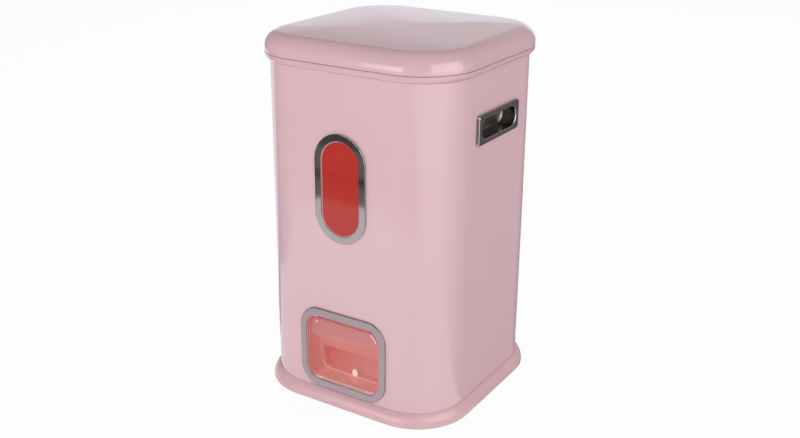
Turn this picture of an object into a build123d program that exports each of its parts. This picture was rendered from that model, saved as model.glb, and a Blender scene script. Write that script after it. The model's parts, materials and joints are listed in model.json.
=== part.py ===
from build123d import *
import math
import os

# Rice bucket: a rounded square casing with an inner bin that feeds a scoop well.
# Millimetres, +Z up, front towards -Y, origin on the ground under the middle of the casing.
# Places called "out" are measured outwards from the painted wall, so inside is negative.

# Casing
body_width = 240
body_depth = 240
corner_radius = 58
sheet = 0.8
seam_height = 396
seam_fold = 9

# Fits
slip = 0.1
running_play = 0.05
body_gap = 0.3
swing_gap = 0.6

# Base moulding, floor and feet
foot_drop = 0.6
skirt_flare = 8.4
skirt_height = 14.9
skirt_lip = 0.8
skirt_wall = 2
skirt_edge = 0.8
shelf_rise = 3
shelf_thickness = 2.5
shelf_width = 7
floor_thickness = 2
floor_rib = 4
foot_radius = 9
foot_inset = 40

# Rim moulding
rim_flare = 5.6
rim_height = 8
rim_cap = 4.6
rim_band = 1.6
rim_leg = 2
rim_leg_drop = 7
mouth_inset = 6
ledge_depth = 10.6
ledge_width = 3.7
ledge_thickness = 2.4

# Lid
seam_gap = 0.8
lid_rise = 23.6
lid_wall = 2.2
lid_round = 18.5
lid_crown = 3
lid_flat_inset = 40
lid_haunch = 13
liner_raise = 0.6
liner_thickness = 2
plug_drop = 5.4
seal_lip_inset = 0.4
plug_wall = 2
lid_rib = 2
lid_peg_inset = 36

# Lid hinge
hinge_radius = 3
hinge_pin_radius = 1.2
hinge_standoff = 1
hinge_centre_length = 40
hinge_side_length = 20
hinge_gusset = 5
hinge_bed = 1.6
hinge_pin_head = 1

# Rice bin
bin_side_gap = 20
bin_front_gap = 10
bin_corner = 46
bin_wall = 2
bin_floor_angle = 32
bin_side_start = 6
bin_side_fall = 88
bin_round = 12
bin_flange = 2
bin_socket = 2.5

# Outlet
outlet_height = 66.8
outlet_side_gap = 5
outlet_tall = 99
outlet_radius = 19.4
outlet_rim = 7.8
outlet_rim_high = 9
outlet_proud = 3.2
outlet_edge = 1.2
tray_wall = 2.2
tray_depth = 24
tray_flange = 3
throat_height = 29.7
throat_length = 7
ceiling_start = 7

# Flap
flap_thickness = 2.4
flap_setback = 3
flap_axis_depth = 2.4
flap_barrel = 2.4
flap_rod_radius = 1
flap_rod_bite = 2.5
flap_top_gap = 1.1
flap_corner = 24
pull_width = 56
pull_thickness = 2
pull_reach = 4.2

# Window
window_height = 263
window_width = 64.8
window_tall = 122.6
window_rim = 8.2
window_proud = 2.6
window_edge = 0.8
window_sleeve = 1.5
window_seal = 1.2
pane_thickness = 2
pane_lap = 2.2
pane_plug = 3
window_clamp = 2

# Grips
grip_drop = 68.2
grip_length = 91.5
grip_tall = 32.6
grip_corner = 3.5
grip_proud = 3.5
grip_edge = 0.8
recess_length = 78
recess_tall = 22
recess_depth = 18
grip_wall = 1.6
grip_clamp = 2

# Snap tabs of the bright trim, and the square pegs and noses of the lid and the floor
tab_width = 8
tab_thickness = 1.6
peg_width = 4
hook_reach = 0.7
hook_height = 1.2

# Places worked out from the sizes above
half_width = body_width / 2
half_depth = body_depth / 2
shelf_top = foot_drop + shelf_rise + shelf_thickness
skirt_top = foot_drop + skirt_height
leg_face = -sheet - slip
rim_top = seam_height - seam_gap / 2
sheet_top = rim_top - rim_cap
ledge_top = rim_top - ledge_depth
rim_leg_low = ledge_top - rim_leg_drop
lid_bottom = seam_height + seam_gap / 2
total_height = lid_bottom + lid_rise
liner_low = lid_bottom + liner_raise
liner_top = liner_low + liner_thickness
ceiling = total_height - lid_wall
hinge_axis_y = half_depth + rim_flare + hinge_standoff
outlet_width = body_width - 2 * corner_radius - 2 * outlet_side_gap
mouth_width = outlet_width - 2 * outlet_rim
mouth_tall = outlet_tall - 2 * outlet_rim_high
mouth_radius = outlet_radius - (outlet_width - mouth_width) / 4 + slip
mouth_top = outlet_height + mouth_tall / 2
mouth_floor = outlet_height - mouth_tall / 2
throat_top = mouth_floor + throat_height
throat_end = tray_depth + throat_length
flap_axis_height = mouth_top - flap_top_gap - flap_barrel
window_opening_width = window_width - 2 * window_rim
window_opening_tall = window_tall - 2 * window_rim
pane_front = sheet + window_seal - pane_plug
pane_back = sheet + window_seal + pane_thickness
bin_top = ledge_top + bin_flange
grip_height = seam_height - grip_drop

front_wall = Plane(origin=(0, -half_depth, 0), x_dir=(1, 0, 0), z_dir=(0, -1, 0))
right_wall = Plane(origin=(half_width, 0, 0), x_dir=(0, 1, 0), z_dir=(1, 0, 0))


def body_outline(out):
    """The casing's rounded square, grown or shrunk by a distance from the painted wall."""
    return RectangleRounded(body_width + 2 * out, body_depth + 2 * out, corner_radius + out)


def body_slab(out, low, high):
    """A slab with the casing's outline between two heights."""
    return extrude(Pos(0, 0, low) * body_outline(out), high - low)


def body_band(outer, inner, low, high):
    """A closed band between two outlines of the casing."""
    return body_slab(outer, low, high) - body_slab(inner, low, high)


def around_body(section):
    """Carry a section, drawn as distance out and height, once round the casing."""
    path = body_outline(0).wire()
    start = path @ 0
    along = path % 0
    outwards = Vector(along.Y, -along.X, 0)
    if outwards.dot(start) < 0:
        outwards = -outwards
    plane = Plane(origin=start, x_dir=outwards, z_dir=outwards.cross(Vector(0, 0, 1)))
    return sweep(plane * section, path=path)


def on_front(outline, height, low, high):
    """Extrude an outline seen from the front between two distances out from the front wall."""
    return extrude(front_wall.offset(low) * Pos(0, height) * outline, high - low)


def on_side(outline, height, low, high):
    """Extrude an outline seen from the right between two distances out from the right wall."""
    return extrude(right_wall.offset(low) * Pos(0, height) * outline, high - low)


def across(outline, width):
    """Extrude an outline drawn as y and z to both sides of the middle plane."""
    return extrude(Plane.YZ * outline, width / 2, both=True)


def rod(radius, start, end):
    """A round bar between two points."""
    start = Vector(*start)
    along = Vector(*end) - start
    return extrude(Plane(origin=start, z_dir=along) * Circle(radius), along.length)


def corners(half_x, half_y):
    """The four corners of a rectangle about the origin."""
    return [(x * half_x, y * half_y) for x in (-1, 1) for y in (-1, 1)]


def tab_blocks(places, place_on, grow, low, high):
    """Flat tabs at a list of places, grown all round, between two distances out from a wall."""
    outline = Rectangle(tab_thickness + 2 * grow, tab_width + 2 * grow)
    return [place_on(Pos(x, 0) * outline, z, low, high) for x, z in places]


def snap_tabs(places, place_on, reach):
    """Tabs that run in from the wall's face and end in a hook behind what they clamp."""
    hooks = tab_blocks(places, place_on, hook_reach, -reach - hook_height, -reach)
    return tab_blocks(places, place_on, 0, -reach, 0) + hooks


def pegs(places, grow, low, high):
    """Square pegs at a list of places, grown all round, between two heights."""
    width = peg_width + 2 * grow
    return [Pos(x, y, (low + high) / 2) * Box(width, width, high - low) for x, y in places]


def snap_pegs(places, low, high):
    """Pegs that hang from a height and end in a hook below what they hold."""
    return pegs(places, 0, low, high) + pegs(places, hook_reach, low - hook_height, low)


def arc_half_width(middle, radius, rise):
    """Half the width of a rounded outline at a height above its corner's centre."""
    return middle - radius + math.sqrt(radius ** 2 - rise ** 2)


# Outlines shared by the pieces that fit each other

def mouth_outline(grow):
    """The outlet's opening, grown by a distance all round."""
    return RectangleRounded(mouth_width + 2 * grow, mouth_tall + 2 * grow, mouth_radius + grow)


def window_outline(grow):
    """The window's upright oval opening, grown by a distance all round."""
    return SlotOverall(window_opening_tall + 2 * grow, window_opening_width + 2 * grow, rotation=90)


def recess_outline(grow):
    """A grip's finger recess, grown by a distance all round."""
    return SlotOverall(recess_length + 2 * grow, recess_tall + 2 * grow)


outlet_cut = tray_wall + body_gap
window_cut = window_sleeve + body_gap
recess_cut = grip_wall + body_gap
frame_outline = RectangleRounded(outlet_width, outlet_tall, outlet_radius)
plate_outline = RectangleRounded(grip_length, grip_tall, grip_corner)

# Fixing places: x and height on the front wall, y and height on a side wall, x and y elsewhere

outlet_tab_x = (mouth_width / 2 + outlet_cut + outlet_width / 2) / 2
outlet_places = [(x, outlet_height + z) for x, z in corners(outlet_tab_x, outlet_tall / 4)]
pane_edge = window_opening_width / 2 + window_sleeve + pane_lap
window_tab_x = (pane_edge + window_width / 2) / 2
window_places = [(x, window_height + z) for x, z in corners(window_tab_x, window_tall / 6)]
grip_tab_y = (recess_length / 2 + recess_cut + grip_length / 2) / 2
grip_places = [(-grip_tab_y, grip_height), (grip_tab_y, grip_height)]
floor_nose_in = -leg_face + skirt_wall + peg_width / 4
floor_places = [(half_width - floor_nose_in, 0), (floor_nose_in - half_width, 0),
                (0, half_depth - floor_nose_in), (0, floor_nose_in - half_depth)]
foot_x = half_width - foot_inset
foot_y = half_depth - foot_inset
lid_peg_x = half_width + rim_flare - lid_peg_inset
lid_peg_y = half_depth + rim_flare - lid_peg_inset
lid_places = corners(lid_peg_x, lid_peg_y)


def body_shell():
    """Painted tube with its cut-outs and the folded seam down the back."""
    tube = body_band(0, -sheet, shelf_top, sheet_top)
    fold_low = skirt_top + slip
    fold_high = rim_leg_low - slip
    fold_middle = (fold_low + fold_high) / 2
    fold = Box(seam_fold, 2 * sheet, fold_high - fold_low)
    groove = Box(sheet / 2, sheet, sheet_top - shelf_top)
    tube += Pos(0, half_depth - 1.5 * sheet, fold_middle) * fold
    tube -= Pos(seam_fold / 2, half_depth, (sheet_top + shelf_top) / 2) * groove
    tube -= on_front(mouth_outline(outlet_cut), outlet_height, -sheet, sheet)
    tube -= on_front(window_outline(window_cut), window_height, -sheet, sheet)
    tube -= tab_blocks(outlet_places + window_places, on_front, slip, -sheet, sheet)
    grip_cuts = [on_side(recess_outline(recess_cut), grip_height, -sheet, sheet)]
    grip_cuts += tab_blocks(grip_places, on_side, slip, -sheet, sheet)
    tube -= grip_cuts
    tube -= [Rot(0, 0, 180) * cut for cut in grip_cuts]
    return tube


def base_ring():
    """Rounded skirt: groove for the sheet, shelf for the floor and noses that hold it down."""
    lip = (skirt_flare, foot_drop + skirt_lip)
    crest = (skirt_edge, skirt_top)
    leg_inside = leg_face - skirt_wall
    shelf_low = shelf_top - shelf_thickness
    swell = TangentArc(lip, crest, tangent=(0, 1))
    rest = Polyline(
        crest, (slip, skirt_top), (slip, shelf_top), (leg_face, shelf_top), (leg_face, skirt_top),
        (leg_inside, skirt_top), (leg_inside, shelf_top), (leg_inside - shelf_width, shelf_top),
        (leg_inside - shelf_width, shelf_low), (skirt_wall, shelf_low),
        (skirt_wall, skirt_top - 2 * skirt_wall), (skirt_flare - skirt_wall, shelf_low),
        (skirt_flare - skirt_wall, foot_drop), (skirt_flare, foot_drop), lip)
    nose_low = shelf_top + floor_thickness + slip
    return around_body(make_face(swell + rest)) + pegs(floor_places, 0, nose_low, nose_low + hook_height)


def bottom_plate():
    """Floor panel on the shelf, with crossed ribs."""
    top = shelf_top + floor_thickness
    plate = body_slab(leg_face - skirt_wall - slip, shelf_top, top)
    rib_in = -leg_face + skirt_wall + shelf_width
    rib_height = top + floor_rib / 2
    plate += Pos(0, 0, rib_height) * Box(2 * (half_width - rib_in), floor_thickness, floor_rib)
    return plate + Pos(0, 0, rib_height) * Box(floor_thickness, 2 * (half_depth - rib_in), floor_rib)


def foot(x, y):
    """Rubber foot under the floor panel."""
    return rod(foot_radius, (x, y, 0), (x, y, shelf_top))


def knuckle(low, high, upwards):
    """Hinge barrel along x with the gusset that joins it to the wall above or below."""
    edge = -hinge_standoff - hinge_bed
    web = [(hinge_radius, 0), (hinge_radius, upwards * hinge_radius / 2),
           (edge + hinge_bed, upwards * hinge_gusset), (edge, upwards * hinge_gusset), (edge, 0)]
    section = Circle(hinge_radius) + Polygon(*web[::upwards], align=None)
    return extrude(Plane.YZ.offset(low) * Pos(hinge_axis_y, seam_height) * section, high - low)


def hinge_bar(radius, low, high):
    """A round bar on the hinge's axis."""
    return rod(radius, (low, hinge_axis_y, seam_height), (high, hinge_axis_y, seam_height))


hinge_middle = hinge_centre_length / 2
hinge_inner = hinge_middle + body_gap
hinge_outer = hinge_inner + hinge_side_length
hinge_end = hinge_outer + hinge_pin_head + body_gap
hinge_clear = hinge_radius + swing_gap
hinge_head = hinge_pin_radius + sheet


def top_collar():
    """Rim moulding over the sheet's edge: mouth, ledge for the bin and outer hinge barrels."""
    root = (slip, rim_top - rim_height)
    inner_leg = leg_face - rim_leg
    ledge_low = ledge_top - ledge_thickness
    section = Polyline(
        root, (slip, sheet_top), (leg_face, sheet_top), (leg_face, rim_leg_low),
        (inner_leg, rim_leg_low), (inner_leg, ledge_low), (-mouth_inset - ledge_width, ledge_low),
        (-mouth_inset - ledge_width, ledge_top), (-mouth_inset, ledge_top), (-mouth_inset, rim_top),
        (rim_flare, rim_top), (rim_flare, rim_top - rim_band), root)
    collar = around_body(make_face(section)) - hinge_bar(hinge_clear, -hinge_inner, hinge_inner)
    for low, high in ((-hinge_outer, -hinge_inner), (hinge_inner, hinge_outer)):
        collar += knuckle(low, high, -1)
    collar -= hinge_bar(hinge_pin_radius, -hinge_outer, hinge_outer)
    collar -= hinge_bar(hinge_head + body_gap, -hinge_end, -hinge_outer)
    return collar - hinge_bar(hinge_head + body_gap, hinge_outer, hinge_end)


def lid_hinge_pin():
    """Steel pin with a formed head at each end."""
    pin = hinge_bar(hinge_pin_radius, -hinge_outer, hinge_outer)
    pin += hinge_bar(hinge_head, hinge_outer, hinge_outer + hinge_pin_head)
    return pin + hinge_bar(hinge_head, -hinge_outer - hinge_pin_head, -hinge_outer)


def lid_form(inset, finish):
    """The lid's block with its pitched crown, shrunk by a distance; finish shapes its brow."""
    top = total_height - inset
    brow = (rim_flare - inset, top - lid_crown)
    section = make_face(Polyline(
        (-lid_flat_inset, lid_bottom), (brow[0], lid_bottom), brow, (-lid_flat_inset, top),
        (-lid_flat_inset, lid_bottom)))
    corner = section.vertices().sort_by_distance((*brow, 0))[0]
    return around_body(finish(corner)) + body_slab(-lid_flat_inset, lid_bottom, top)


def lid_shell():
    """Crowned cover with two ribs, pegs for the liner and the middle hinge barrel."""
    cover = lid_form(0, lambda corner: fillet(corner, lid_round))
    cover -= lid_form(lid_wall, lambda corner: chamfer(corner, lid_haunch))
    rib_top = ceiling + slip
    rib_middle = (liner_top + rib_top) / 2
    for y in (-lid_peg_y, lid_peg_y):
        cover += Pos(0, y, rib_middle) * Box(2 * lid_peg_x, lid_rib, rib_top - liner_top)
    cover += snap_pegs(lid_places, liner_low, liner_top + lid_wall)
    cover += knuckle(-hinge_middle, hinge_middle, 1)
    for low, high in ((-hinge_end, -hinge_middle), (hinge_middle, hinge_end)):
        cover -= hinge_bar(hinge_clear, low, high)
    return cover - hinge_bar(hinge_pin_radius + running_play, -hinge_middle, hinge_middle)


plug_out = -mouth_inset - swing_gap


def lid_liner():
    """Inner panel of the lid with the plug rim that drops into the mouth."""
    panel = body_slab(rim_flare - lid_wall - body_gap - slip, liner_low, liner_top)
    panel += body_band(plug_out, plug_out - plug_wall, lid_bottom - plug_drop, liner_low)
    return panel - pegs(lid_places, slip, liner_low, liner_top)


def lid_seal():
    """Gasket round the plug, just off the rim, with a lip under the lid's edge."""
    inside_lid = rim_flare - lid_wall - 2 * slip
    low = rim_top + body_gap
    seal = body_band(inside_lid, plug_out, low, liner_low)
    seal += body_band(rim_flare - seal_lip_inset, inside_lid, low, lid_bottom - slip)
    return seal - hinge_bar(hinge_clear, -hinge_end, hinge_end)


def bin_form(grow):
    """The bin's inside as a solid, grown by the wall for its outside."""
    front = half_depth - bin_front_gap - bin_wall
    mouth = half_depth - throat_end
    lintel = throat_top + tray_wall + slip
    ceiling_slope = (mouth_top - throat_top) / (tray_depth - ceiling_start)
    brow = lintel + (front - mouth) * ceiling_slope
    heel = mouth_floor + (front + mouth) * math.tan(math.radians(bin_floor_angle))
    side = Polygon((-front, total_height), (-front, brow), (-mouth, lintel), (-mouth, mouth_floor),
                   (front, heel), (front, total_height), align=None)
    wide = half_width - bin_side_gap - bin_wall
    narrow = mouth_width / 2
    neck = throat_top + bin_side_start
    half = Polygon((0, total_height), (wide, total_height), (wide, neck + bin_side_fall),
                   (narrow, neck), (narrow, 0), (0, 0), align=None)
    bends = half.vertices().filter_by(lambda v: neck - slip < v.Y < neck + bin_side_fall + slip)
    half = fillet(bends, bin_round)
    funnel = half + mirror(half, Plane.YZ)
    plan = RectangleRounded(2 * (wide + grow), 2 * (front + grow), bin_corner - bin_wall + grow)
    form = extrude(plan, total_height)
    form &= across(offset(side, grow, kind=Kind.INTERSECTION), body_width)
    return form & extrude(Plane.XZ * offset(funnel, grow, kind=Kind.INTERSECTION), body_depth / 2, both=True)


def throat_form(grow, low, high):
    """The throat's round-bottomed duct, grown by a distance, between two distances out."""
    duct = mouth_outline(grow)
    lintel = throat_top + grow - outlet_height
    cut = Pos(0, lintel - outlet_tall / 2) * Rectangle(outlet_width * 2, outlet_tall)
    return on_front(duct & cut, outlet_height, low, high)


def rice_hopper():
    """Inner bin: flange on the ledge, sloping floor, drawn-in sides and a socket for the throat."""
    shell = bin_form(bin_wall) & body_slab(-mouth_inset, 0, bin_top)
    shell += body_slab(-mouth_inset - slip, ledge_top, bin_top)
    face = throat_end + bin_wall
    shell += throat_form(tray_wall + slip + bin_wall, -face, bin_socket - throat_end)
    shell -= bin_form(0)
    return shell - throat_form(tray_wall + slip, -throat_end, bin_socket - throat_end)


def well_form(grow):
    """The scoop well's inside as a solid: full height in front, sloping down to the throat."""
    front = half_depth
    knee = half_depth - ceiling_start
    back = half_depth - tray_depth
    side = Polygon((-front, mouth_floor - outlet_tall), (-front, mouth_top), (-knee, mouth_top),
                   (-back, throat_top), (0, throat_top), (0, mouth_floor - outlet_tall), align=None)
    side = offset(side, grow, kind=Kind.INTERSECTION)
    return on_front(mouth_outline(grow), outlet_height, -throat_end, 0) & across(side, body_width)


def outlet_tray():
    """Scoop well moulding with the flange that is clamped behind the sheet."""
    well = well_form(tray_wall)
    well += on_front(frame_outline, outlet_height, -sheet - tray_flange, -sheet)
    well -= well_form(0)
    well -= tab_blocks(outlet_places, on_front, slip, -sheet - tray_flange, -sheet)
    return well - flap_rod(flap_rod_radius)


def outlet_frame():
    """Bright frame round the outlet, snapped through the sheet and the tray's flange."""
    frame = on_front(frame_outline - mouth_outline(0), outlet_height, 0, outlet_proud)
    frame = chamfer(frame.faces().sort_by(Axis.Y)[0].edges(), outlet_edge)
    return frame + snap_tabs(outlet_places, on_front, sheet + tray_flange)


def flap_rod(radius):
    """The rod that the flap swings on, from side wall to side wall of the well."""
    rise = flap_axis_height - (mouth_top - mouth_radius)
    end = arc_half_width(mouth_width / 2, mouth_radius, rise) + flap_rod_bite
    y = flap_axis_depth - half_depth
    return rod(radius, (-end, y, flap_axis_height), (end, y, flap_axis_height))


def outlet_flap():
    """Clear flap: rounded plate, barrel on the rod and a pull along the bottom."""
    low = mouth_floor + swing_gap
    high = mouth_top - swing_gap
    width = mouth_width - 2 * swing_gap
    outline = Pos(0, (low + high) / 2) * Rectangle(width, high - low)
    outline = fillet(outline.vertices().sort_by(Axis.Y)[2:], flap_corner)
    outline = fillet(outline.vertices().sort_by(Axis.Y)[:2], mouth_radius - swing_gap)
    trim = Pos(0, flap_axis_height - mouth_tall) * Rectangle(2 * width, 2 * mouth_tall)
    flap = on_front(outline & trim, 0, -flap_setback - flap_thickness, -flap_setback)
    reach = arc_half_width(width / 2, flap_corner, flap_axis_height - (high - flap_corner))
    y = flap_axis_depth - half_depth
    flap += rod(flap_barrel, (-reach, y, flap_axis_height), (reach, y, flap_axis_height))
    pull = Pos(0, pull_thickness / 2) * Rectangle(pull_width, pull_thickness)
    flap += on_front(pull, low, -flap_setback, pull_reach - flap_setback)
    return flap - flap_rod(flap_rod_radius + running_play)


def window_bezel():
    """Bright oval ring with a sleeve through the sheet, snapped to the clamp ring behind it."""
    ring = on_front(window_outline(window_rim) - window_outline(0), window_height, 0, window_proud)
    ring = chamfer(ring.faces().sort_by(Axis.Y)[0].edges(), window_edge)
    sleeve = window_outline(window_sleeve) - window_outline(0)
    ring += on_front(sleeve, window_height, -sheet - window_seal, 0)
    return ring + snap_tabs(window_places, on_front, pane_back + window_clamp)


def window_pane():
    """Stepped pane: a flange under the clamp and a raised middle inside the sleeve."""
    lap = window_sleeve + pane_lap
    pane = on_front(window_outline(lap), window_height, -pane_back, pane_thickness - pane_back)
    raised = window_outline(-slip)
    return pane + on_front(raised, window_height, pane_thickness - pane_back, -pane_front)


def window_gasket():
    """Rubber ring between the sheet and the pane."""
    inner = window_outline(window_sleeve + slip)
    ring = window_outline(window_sleeve + pane_lap) - inner
    return on_front(ring, window_height, -sheet - window_seal, -sheet)


def window_retainer():
    """Clamp ring behind the pane."""
    ring = window_outline(window_rim - slip) - window_outline(slip)
    ring = on_front(ring, window_height, -pane_back - window_clamp, -pane_back)
    return ring - tab_blocks(window_places, on_front, slip, -pane_back - window_clamp, -pane_back)


def handle():
    """Bright grip on the right: raised plate and finger recess, snapped to the plate behind it."""
    floor = grip_proud - recess_depth
    plate = on_side(plate_outline - recess_outline(0), grip_height, 0, grip_proud)
    plate = chamfer(plate.faces().sort_by(Axis.X)[-1].edges(), grip_edge)
    plate += on_side(recess_outline(grip_wall), grip_height, floor - grip_wall, 0)
    plate -= on_side(recess_outline(0), grip_height, floor, 0)
    return plate + snap_tabs(grip_places, on_side, sheet + grip_clamp)


def handle_bracket():
    """Clamp plate behind the right wall."""
    plate = plate_outline - recess_outline(recess_cut)
    plate = on_side(plate, grip_height, -sheet - grip_clamp, -sheet)
    return plate - tab_blocks(grip_places, on_side, slip, -sheet - grip_clamp, -sheet)


def turned(piece):
    """The same piece on the other side."""
    return Rot(0, 0, 180) * piece


pieces = {
    "body_shell": body_shell(),
    "base_ring": base_ring(),
    "bottom_plate": bottom_plate(),
    "foot_front_left": foot(-foot_x, -foot_y),
    "foot_front_right": foot(foot_x, -foot_y),
    "foot_rear_left": foot(-foot_x, foot_y),
    "foot_rear_right": foot(foot_x, foot_y),
    "top_collar": top_collar(),
    "rice_hopper": rice_hopper(),
    "outlet_tray": outlet_tray(),
    "outlet_frame": outlet_frame(),
    "outlet_flap": outlet_flap(),
    "flap_pivot_rod": flap_rod(flap_rod_radius),
    "window_bezel": window_bezel(),
    "window_pane": window_pane(),
    "window_seal": window_gasket(),
    "window_retainer": window_retainer(),
    "handle_right": handle(),
    "handle_left": turned(handle()),
    "handle_bracket_right": handle_bracket(),
    "handle_bracket_left": turned(handle_bracket()),
    "lid_shell": lid_shell(),
    "lid_liner": lid_liner(),
    "lid_seal": lid_seal(),
    "lid_hinge_pin": lid_hinge_pin(),
}

os.makedirs("parts", exist_ok=True)
for name, piece in pieces.items():
    export_step(piece, f"parts/{name}.step")

bin_room = (bin_form(0) & body_slab(0, 0, bin_top)).volume
print(f"The bin holds {bin_room / 1e6:.1f} litres.")
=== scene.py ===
import math
from collections import namedtuple

import bmesh
import bpy
from mathutils import Matrix, Vector
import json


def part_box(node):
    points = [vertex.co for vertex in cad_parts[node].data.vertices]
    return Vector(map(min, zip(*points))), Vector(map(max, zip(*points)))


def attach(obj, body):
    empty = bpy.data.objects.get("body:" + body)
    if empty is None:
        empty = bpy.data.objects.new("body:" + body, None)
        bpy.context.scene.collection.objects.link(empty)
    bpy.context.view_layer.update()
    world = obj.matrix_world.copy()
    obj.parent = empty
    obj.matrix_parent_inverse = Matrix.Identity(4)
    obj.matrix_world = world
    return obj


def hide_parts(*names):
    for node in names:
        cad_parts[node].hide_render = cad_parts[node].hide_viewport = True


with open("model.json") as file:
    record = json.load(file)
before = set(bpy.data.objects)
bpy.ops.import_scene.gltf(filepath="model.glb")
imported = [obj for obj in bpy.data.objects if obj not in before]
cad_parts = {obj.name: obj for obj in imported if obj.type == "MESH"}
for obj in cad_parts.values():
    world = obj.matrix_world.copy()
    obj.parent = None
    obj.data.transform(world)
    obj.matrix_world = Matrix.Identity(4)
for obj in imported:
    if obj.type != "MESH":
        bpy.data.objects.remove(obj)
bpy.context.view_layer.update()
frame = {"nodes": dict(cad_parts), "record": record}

MM = 0.001

# Fineness: segments in a quarter turn of a corner seen from the front or above, and of a rounded edge
CORNER_STEPS = 28
EDGE_STEPS = 5
SHARP_ANGLE = math.radians(32)
MERGE_WITHIN = 0.005 * MM

# Boxes of the solids that the pieces follow
shell_low, shell_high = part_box("body_shell")
base_low, base_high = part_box("base_ring")
collar_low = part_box("top_collar")[0]
lid_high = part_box("lid_shell")[1]
frame_low, frame_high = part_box("outlet_frame")
bezel_low, bezel_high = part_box("window_bezel")
pane_low, pane_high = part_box("window_pane")
grip_low, grip_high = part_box("handle_right")

# Casing: its painted walls, the sheet's thickness and the play between the sheet and what holds it
HALF_WIDTH = shell_high.x
HALF_DEPTH = shell_high.y
SHEET = 0.8 * MM
SLIP = 0.1 * MM

# Where each face of the casing lies: local x to the right, y up and z outwards
FRONT = Matrix(((1, 0, 0, 0), (0, 0, -1, -HALF_DEPTH), (0, 1, 0, 0), (0, 0, 0, 1)))
RIGHT = Matrix(((0, 0, 1, HALF_WIDTH), (1, 0, 0, 0), (0, 1, 0, 0), (0, 0, 0, 1)))
LEFT = Matrix.Rotation(math.pi, 4, "Z") @ RIGHT
PLAN = Matrix.Identity(4)
UP = Vector((0, 1, 0))

# Rounded rectangles: the casing seen from above, and what is drawn on its faces
Outline = namedtuple("Outline", "half_x half_y radius height")
OUTLET_MIDDLE = (frame_low.z + frame_high.z) / 2
CASING = Outline(HALF_WIDTH, HALF_DEPTH, 58 * MM, 0)
MOUTH = Outline(49.2 * MM, 40.5 * MM, 15.6 * MM, OUTLET_MIDDLE)
WELL_FLANGE = Outline(frame_high.x, (frame_high.z - frame_low.z) / 2, 19.4 * MM, OUTLET_MIDDLE)
WINDOW = Outline(24.2 * MM, 53.1 * MM, 24.2 * MM, (bezel_low.z + bezel_high.z) / 2)
RECESS = Outline(39 * MM, 11 * MM, 11 * MM, (grip_low.z + grip_high.z) / 2)
GRIP_PLATE = Outline(grip_high.y, (grip_high.z - grip_low.z) / 2, 3.5 * MM, RECESS.height)

# Grips: how far the plate stands out, and the radius of its hole's lip
GRIP_PROUD = grip_high.x - HALF_WIDTH
GRIP_LIP = 1.4 * MM

# Rim and lid
RIM_TOP = 395.6 * MM
RIM_FLARE = 5.6 * MM
LID_BOTTOM = 396.4 * MM
LID_WALL = 2.2 * MM
LID_BROW = 18.5 * MM
LID_CROWN = 3 * MM
CROWN_INSET = 40 * MM
SEAM_EDGE = 0.25 * MM

# Lid hinge: its axis, the barrels and where each ends along x
HINGE_Y = HALF_DEPTH + 6.6 * MM
HINGE_Z = 396 * MM
BARREL = 3 * MM
BARREL_ROOM = 3.6 * MM
PIN_ROOM = 2.3 * MM
HINGE_MIDDLE = 20 * MM
HINGE_INNER = 20.3 * MM
HINGE_OUTER = 40.3 * MM
HINGE_END = 41.6 * MM
SLIVER = 0.05 * MM

# Scoop well: heights, and depths behind the painted wall
MOUTH_TOP = OUTLET_MIDDLE + MOUTH.half_y
MOUTH_FOOT = MOUTH_TOP - 2 * MOUTH.half_y
WELL_DEPTH = 24 * MM
WELL_BACK_Y = WELL_DEPTH - HALF_DEPTH
ROOF_START = 7 * MM
THROAT_TOP = 56 * MM
THROAT_END = 31 * MM
SILL = 1.6 * MM

# Flap: its gap to the mouth, the depths of its faces, its rod, and the middle of its corner ribs
FLAP_GAP = 0.6 * MM
FLAP_FRONT = 3 * MM
FLAP_BACK = 5.4 * MM
FLAP_FOOT = MOUTH_FOOT + FLAP_GAP
FLAP_AXIS_Y = -HALF_DEPTH + 2.4 * MM
FLAP_AXIS_Z = 103.8 * MM
FLAP_RIB_X = 24.6 * MM
FLAP_RIB_Z = 82.7 * MM
FLAP_RIB_BEND = 19.4 * MM

# Painted reflection band on the flap: its lower edge, where that edge starts to rise, how steeply, and the
# barrel's foot
REFLECTION_FOOT = 79 * MM
REFLECTION_RISE_FROM = 6 * MM
REFLECTION_RISE = 0.17
REFLECTION_SOFTNESS = 1.2 * MM
BARREL_FOOT = 101 * MM
BARREL_SOFTNESS = 0.5 * MM


# Node trees

class Value:
    """A socket of a node tree, so that a sum or product of values adds its Math node."""

    def __init__(self, nodes, socket):
        self.nodes = nodes
        self.socket = socket

    def math(self, operation, *terms):
        """The result of a Math node."""
        return self.nodes.node("ShaderNodeMath", {"operation": operation}, dict(enumerate(terms)))

    def __add__(self, other):
        return self.math("ADD", self, other)

    def __sub__(self, other):
        return self.math("SUBTRACT", self, other)

    def __mul__(self, other):
        return self.math("MULTIPLY", self, other)

    __radd__ = __add__
    __rmul__ = __mul__

    def __rsub__(self, other):
        return self.math("SUBTRACT", other, self)

    def __abs__(self):
        return self.math("ABSOLUTE", self)

    def at_least(self, other):
        """The larger of two values."""
        return self.math("MAXIMUM", self, other)

    def ramp(self, low, high):
        """0 below one value, 1 above another and a smooth rise between them."""
        settings = {"interpolation_type": "SMOOTHSTEP"}
        return self.nodes.node("ShaderNodeMapRange", settings, {0: self, 1: low, 2: high})


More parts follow.
